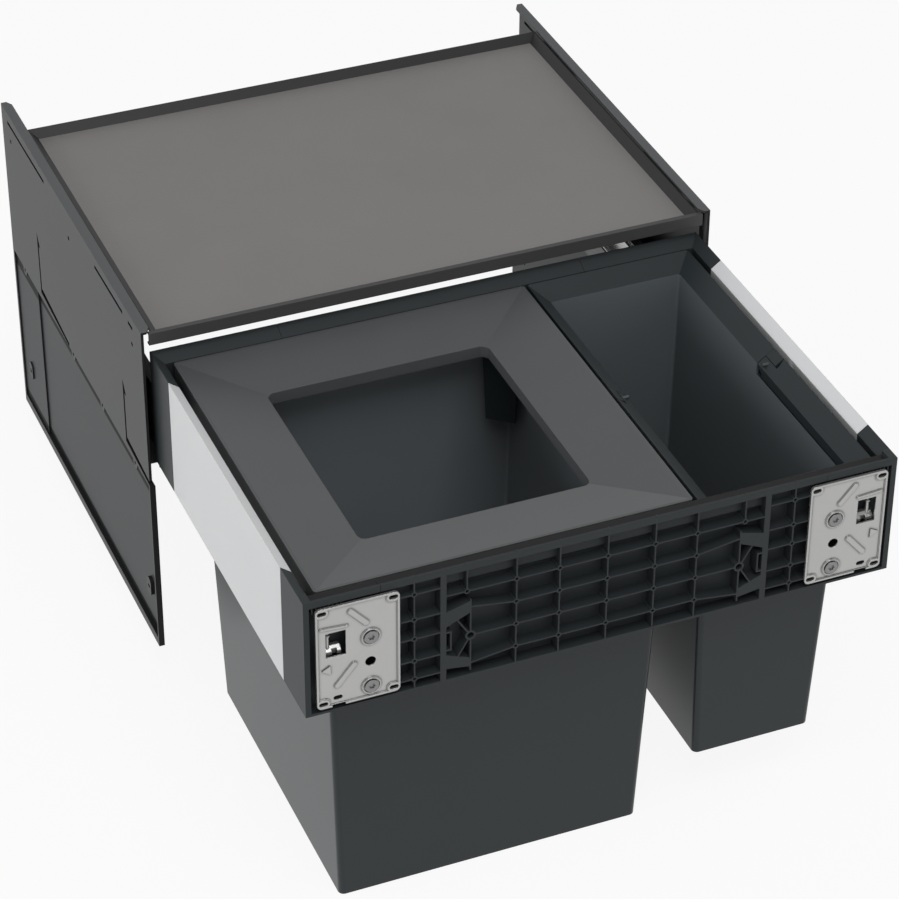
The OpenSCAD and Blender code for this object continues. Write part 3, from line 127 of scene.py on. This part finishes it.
def satin(name, colour, roughness, grain=0.25, metallic=0.0, specular=0.5, cloud=0.06, edge=EDGE_RADIUS,
          grain_scale=GRAIN_SCALE, grain_depth=GRAIN_DEPTH):
    """Plain surface with a fine grain, slightly uneven colour and softly rounded edges."""
    material = bpy.data.materials.new(name)
    nodes, links = node_tree(material)
    shader = nodes["Principled BSDF"]
    shader.inputs["Roughness"].default_value = roughness
    shader.inputs["Metallic"].default_value = metallic
    shader.inputs["Specular IOR Level"].default_value = specular
    place = nodes.new("ShaderNodeTexCoord")
    patches = nodes.new("ShaderNodeTexNoise")
    patches.inputs["Scale"].default_value = PATCH_SCALE
    patches.inputs["Detail"].default_value = PATCH_DETAIL
    ramp = nodes.new("ShaderNodeMapRange")
    ramp.inputs["To Min"].default_value = 1.0 - cloud
    ramp.inputs["To Max"].default_value = 1.0 + cloud
    tint = nodes.new("ShaderNodeMix")
    tint.data_type = "RGBA"
    tint.blend_type = "MULTIPLY"
    tint.inputs["Factor"].default_value = 1.0
    tint.inputs["A"].default_value = (*colour, 1.0)
    links.new(place.outputs["Object"], patches.inputs["Vector"])
    links.new(patches.outputs["Fac"], ramp.inputs["Value"])
    links.new(ramp.outputs["Result"], tint.inputs["B"])
    links.new(tint.outputs["Result"], shader.inputs["Base Color"])
    soft_edge = nodes.new("ShaderNodeBevel")
    soft_edge.samples = EDGE_SAMPLES
    soft_edge.inputs["Radius"].default_value = edge
    grains = nodes.new("ShaderNodeTexNoise")
    grains.inputs["Scale"].default_value = grain_scale
    grains.inputs["Detail"].default_value = GRAIN_DETAIL
    bump = nodes.new("ShaderNodeBump")
    bump.inputs["Strength"].default_value = grain
    bump.inputs["Distance"].default_value = grain_depth
    links.new(place.outputs["Object"], grains.inputs["Vector"])
    links.new(grains.outputs["Fac"], bump.inputs["Height"])
    links.new(soft_edge.outputs["Normal"], bump.inputs["Normal"])
    links.new(bump.outputs["Normal"], shader.inputs["Normal"])
    return material


MATERIALS = {
    "side_panel": satin("side_panel", PANEL_COLOUR, 0.50, specular=0.28),
    "panel_top_painted_light": satin("panel_top_painted_light", PANEL_TOP_LIT_COLOUR, 0.50, specular=0.28),
    "painted_shade": satin("painted_shade", PAINTED_SHADE_COLOUR, 0.50, specular=0.15),
    "tray": satin("tray", TRAY_COLOUR, 0.45, grain=1.0, grain_scale=TRAY_GRAIN_SCALE,
                  grain_depth=TRAY_GRAIN_DEPTH),
    "tray_rim": satin("tray_rim", RIM_COLOUR, 0.45, specular=0.25),
    "dark_trim": satin("dark_trim", TRIM_COLOUR, 0.45, specular=0.30),
    "dark_steel": satin("dark_steel", RAIL_COLOUR, 0.38),
    "zinc": satin("zinc", ZINC_COLOUR, 0.27, metallic=0.8, grain=0.15, cloud=0.04, edge=ZINC_EDGE_RADIUS),
    "screw_steel": satin("screw_steel", SCREW_COLOUR, 0.30, metallic=1.0, grain=0.0, cloud=0.0),
    "ball_steel": satin("ball_steel", STEEL_COLOUR, 0.15, metallic=1.0, grain=0.0, cloud=0.0),
    "cage": satin("cage", CAGE_COLOUR, 0.50),
    "light_bar": satin("light_bar", BAR_COLOUR, 0.42, grain=0.2, cloud=0.02),
    "frame_plastic": satin("frame_plastic", FRAME_COLOUR, 0.48, specular=0.2),
    "bin_plastic": satin("bin_plastic", BIN_COLOUR, 0.33, specular=0.25),
    "bin_inside_painted_light": satin("bin_inside_painted_light", BIN_INSIDE_LIT_COLOUR, 0.55, specular=0.2),
    "small_bin_inside_painted_light": satin("small_bin_inside_painted_light", SMALL_INSIDE_LIT_COLOUR, 0.55, specular=0.15),
    "bag_frame": satin("bag_frame", BAG_FRAME_COLOUR, 0.40),
    "damper_case": satin("damper_case", CASE_COLOUR, 0.50),
}


# Nodes whose look differs from the rest of their slot
OWN_MATERIALS = {
    "bag_frame": "bag_frame",
    "plate_screws": "screw_steel",
    "left_soft_close_damper": "dark_steel",
    "right_soft_close_damper": "dark_steel",
}


def dress_frame():
    """Gives each CAD node its material."""
    for row in frame["record"]["subparts"]:
        mesh = frame["nodes"][row["node"]].data
        mesh.materials.clear()
        mesh.materials.append(MATERIALS[OWN_MATERIALS.get(row["node"], row["material_slot"])])


def dress_faces(node, material, chosen):
    """Gives the faces of a node for which chosen is true a second material."""
    mesh = frame["nodes"][node].data
    mesh.materials.append(MATERIALS[material])
    slot = len(mesh.materials) - 1
    for face in mesh.polygons:
        if chosen(face.center, face.normal):
            face.material_index = slot


def linked_range(nodes, links, value, low, high, at_low, at_high):
    """A value's change from one height to another, as a socket."""
    change = nodes.new("ShaderNodeMapRange")
    change.inputs["From Min"].default_value = low
    change.inputs["From Max"].default_value = high
    change.inputs["To Min"].default_value = at_low
    change.inputs["To Max"].default_value = at_high
    links.new(value, change.inputs["Value"])
    return change.outputs["Result"]


def product(nodes, links, first, second):
    """Product of a socket and a socket or number, as a socket."""
    times = nodes.new("ShaderNodeMath")
    times.operation = "MULTIPLY"
    links.new(first, times.inputs[0])
    if isinstance(second, float):
        times.inputs[1].default_value = second
    else:
        links.new(second, times.inputs[1])
    return times.outputs["Value"]


def shade_colour(nodes, links, shader, factor):
    """Multiplies a shader's base colour by a socket."""
    shaded = nodes.new("ShaderNodeMix")
    shaded.data_type = "RGBA"
    shaded.blend_type = "MULTIPLY"
    shaded.inputs["Factor"].default_value = 1.0
    links.new(shader.inputs["Base Color"].links[0].from_socket, shaded.inputs["A"])
    links.new(factor, shaded.inputs["B"])
    links.new(shaded.outputs["Result"], shader.inputs["Base Color"])


def paint_shade_bands(material, bottom, top):
    """Paints shade on a recessed sheet: darkens its colour and gloss in bands along its lower and upper end."""
    nodes, links = node_tree(material)
    shader = nodes["Principled BSDF"]
    place = nodes.new("ShaderNodeTexCoord")
    parts = nodes.new("ShaderNodeSeparateXYZ")
    links.new(place.outputs["Object"], parts.inputs["Vector"])
    height = parts.outputs["Z"]
    upper = linked_range(nodes, links, height, top - BAND_HEIGHT - BAND_END, top - BAND_HEIGHT, 1.0, BAND_SHADE)
    lower = linked_range(nodes, links, height, bottom + LOW_BAND_HEIGHT, bottom + LOW_BAND_HEIGHT + BAND_END,
                         BAND_SHADE, 1.0)
    both = product(nodes, links, upper, lower)
    shade_colour(nodes, links, shader, both)
    gloss = shader.inputs["Specular IOR Level"]
    links.new(product(nodes, links, both, gloss.default_value), gloss)


def paint_step_shade(material):
    """Paints shade at the foot of every step of a pressed plate: the colour darkens where nearby faces close it in.
    """
    nodes, links = node_tree(material)
    shader = nodes["Principled BSDF"]
    corner = nodes.new("ShaderNodeAmbientOcclusion")
    corner.samples = CORNER_SAMPLES
    corner.only_local = True
    corner.inputs["Distance"].default_value = CORNER_REACH
    shade = linked_range(nodes, links, corner.outputs["AO"], CORNER_OPEN_LOW, 1.0, CORNER_SHADE, 1.0)
    shade_colour(nodes, links, shader, shade)


def dress_panel(node):
    """Painted shade and light on a side panel: its faces that do not face sideways get a dark painted shade, the ends
    of its recessed sheet get bands of painted shade, and its up-facing top gets a lighter painted light.
    """
    mesh = frame["nodes"][node].data
    outer = max(abs(vertex.co.x) for vertex in mesh.vertices)
    top = max(vertex.co.z for vertex in mesh.vertices)

    def recessed(place, normal):
        return normal.x * place.x > STEEP * abs(place.x) and abs(place.x) < outer - PANEL_RECESS

    sheets = {}
    for face in mesh.polygons:
        if recessed(face.center, face.normal):
            sheets.setdefault(round(abs(face.center.x), SHEET_DIGITS), []).append(face)
    web = max(sheets.values(), key=lambda faces: sum(face.area for face in faces))
    heights = [mesh.vertices[index].co.z for face in web for index in face.vertices]
    name = node + "_web_painted_shade"
    MATERIALS[name] = satin(name, WEB_COLOUR, WEB_ROUGHNESS, specular=WEB_SPECULAR)
    # Painted shade: dark bands on the recessed sheet under the step and over the bottom rim
    paint_shade_bands(MATERIALS[name], min(heights), max(heights))
    # Painted shade: faces that do not face sideways take the dark shade colour
    dress_faces(node, "painted_shade", lambda place, normal: abs(normal.x) < STEEP)
    # Painted light: the up-facing top faces take a lighter copy of the panel colour
    dress_faces(node, "panel_top_painted_light", lambda place, normal: normal.z > STEEP and place.z > top - FACE_STEP)
    dress_faces(node, name, recessed)


def paint_bar_recess_shade():
    """Paints shade into the recess behind the front bar's lip: its up-facing floor takes the dark painted shade
    colour.
    """
    top = max(vertex.co.z for vertex in frame["nodes"]["right_front_corner"].data.vertices)
    for node in ("front_bar", "left_front_corner", "right_front_corner"):
        dress_faces(node, "painted_shade", lambda place, normal: normal.z > FLAT
                    and top - BAR_RECESS < place.z < top - FACE_STEP)


def dress_tray_rims():
    """The rims round the tray's floor are darker than the floor."""
    mesh = frame["nodes"]["cover_tray"].data
    floor_top = max((face for face in mesh.polygons if face.normal.z > FLAT), key=lambda face: face.area).center.z
    dress_faces("cover_tray", "tray_rim", lambda place, normal: place.z > floor_top + FACE_STEP)


def paint_bin_inside_light(node, material):
    """The inner faces of a bin are matt and get painted light: a lighter colour than its outside."""
    corners = [vertex.co for vertex in frame["nodes"][node].data.vertices]
    low = Vector([min(corner[axis] for corner in corners) for axis in range(3)])
    high = Vector([max(corner[axis] for corner in corners) for axis in range(3)])
    middle = (low + high) / 2

    def inner(place, normal):
        to_middle = Vector((middle.x - place.x, middle.y - place.y, 0.0))
        upright = abs(normal.z) < STEEP and normal.dot(to_middle) > 0.0 and place.z < high.z - RIM_DEPTH
        bottom = normal.z > STEEP and place.z < middle.z
        return upright or bottom

    dress_faces(node, material, inner)


def build_camera():
    data = bpy.data.cameras.new("camera")
    data.lens = CAMERA_LENS
    data.sensor_width = SENSOR_WIDTH
    data.clip_start = CAMERA_NEAR
    data.clip_end = CAMERA_FAR
    camera = bpy.data.objects.new("camera", data)
    bpy.context.scene.collection.objects.link(camera)
    flat = math.cos(CAMERA_ELEVATION)
    back = Vector((math.sin(CAMERA_AZIMUTH) * flat, -math.cos(CAMERA_AZIMUTH) * flat, math.sin(CAMERA_ELEVATION)))
    right = Vector((math.cos(CAMERA_AZIMUTH), math.sin(CAMERA_AZIMUTH), 0.0))
    up = back.cross(right)
    turned_right = right * math.cos(CAMERA_ROLL) + up * math.sin(CAMERA_ROLL)
    turned_up = up * math.cos(CAMERA_ROLL) - right * math.sin(CAMERA_ROLL)
    turn = Matrix((turned_right, turned_up, back)).transposed()
    camera.matrix_world = Matrix.Translation(CAMERA_PLACE) @ turn.to_4x4()
    bpy.context.scene.camera = camera


def area_light(name, place, size, power):
    data = bpy.data.lights.new(name, "AREA")
    data.shape = "RECTANGLE"
    data.size, data.size_y = size
    data.energy = power
    lamp = bpy.data.objects.new(name, data)
    bpy.context.scene.collection.objects.link(lamp)
    lamp.location = place
    lamp.rotation_mode = "QUATERNION"
    lamp.rotation_quaternion = (Vector(LIGHT_TARGET) - Vector(place)).to_track_quat("-Z", "Y")


def build_world():
    """Soft sky, white near the horizon and dimmer above."""
    world = bpy.data.worlds.new("studio")
    bpy.context.scene.world = world
    world.use_nodes = True
    nodes, links = world.node_tree.nodes, world.node_tree.links
    sky = nodes["Background"]
    sky.inputs["Color"].default_value = (1.0, 1.0, 1.0, 1.0)
    direction = nodes.new("ShaderNodeTexCoord")
    parts = nodes.new("ShaderNodeSeparateXYZ")
    fade = nodes.new("ShaderNodeMapRange")
    fade.interpolation_type = "SMOOTHSTEP"
    fade.inputs["From Min"].default_value = SKY_LOW_END
    fade.inputs["From Max"].default_value = SKY_HIGH_START
    fade.inputs["To Min"].default_value = SKY_LOW_STRENGTH
    fade.inputs["To Max"].default_value = SKY_HIGH_STRENGTH
    links.new(direction.outputs["Generated"], parts.inputs["Vector"])
    links.new(parts.outputs["Z"], fade.inputs["Value"])
    links.new(fade.outputs["Result"], sky.inputs["Strength"])


def floor_material():
    """Pale and matt. The camera, mirrors and glass see it nearly white, with a share of its own shade."""
    material = bpy.data.materials.new("floor")
    nodes, links = node_tree(material)
    shader = nodes["Principled BSDF"]
    shader.inputs["Base Color"].default_value = (*FLOOR_COLOUR, 1.0)
    shader.inputs["Roughness"].default_value = FLOOR_ROUGHNESS
    shader.inputs["Specular IOR Level"].default_value = 0.0
    white = nodes.new("ShaderNodeEmission")
    white.inputs["Color"].default_value = (1.0, 1.0, 1.0, 1.0)
    white.inputs["Strength"].default_value = 1.0
    rays = nodes.new("ShaderNodeLightPath")
    seen = rays.outputs["Is Camera Ray"]
    for other in ("Is Glossy Ray", "Is Transmission Ray"):
        either = nodes.new("ShaderNodeMath")
        either.operation = "MAXIMUM"
        links.new(seen, either.inputs[0])
        links.new(rays.outputs[other], either.inputs[1])
        seen = either.outputs["Value"]
    mix = nodes.new("ShaderNodeMixShader")
    links.new(product(nodes, links, seen, FLOOR_WHITE_SHARE), mix.inputs["Fac"])
    links.new(shader.outputs["BSDF"], mix.inputs[1])
    links.new(white.outputs["Emission"], mix.inputs[2])
    links.new(mix.outputs["Shader"], nodes["Material Output"].inputs["Surface"])
    return material


def build_floor():
    half = FLOOR_HALF
    mesh = bpy.data.meshes.new("floor")
    mesh.from_pydata([(-half, -half, 0), (half, -half, 0), (half, half, 0), (-half, half, 0)], [], [(0, 1, 2, 3)])
    floor = bpy.data.objects.new("floor", mesh)
    bpy.context.scene.collection.objects.link(floor)
    floor.location.z = -FLOOR_DROP
    mesh.materials.append(floor_material())


dress_frame()
paint_step_shade(MATERIALS["zinc"])
dress_panel("left_side_panel")
dress_panel("right_side_panel")
dress_tray_rims()
paint_bar_recess_shade()
paint_bin_inside_light("large_bin", "bin_inside_painted_light")
paint_bin_inside_light("small_bin", "small_bin_inside_painted_light")
build_camera()
for light in LIGHTS:
    area_light(*light)
build_world()
build_floor()
bpy.context.scene.view_settings.view_transform = "Standard"
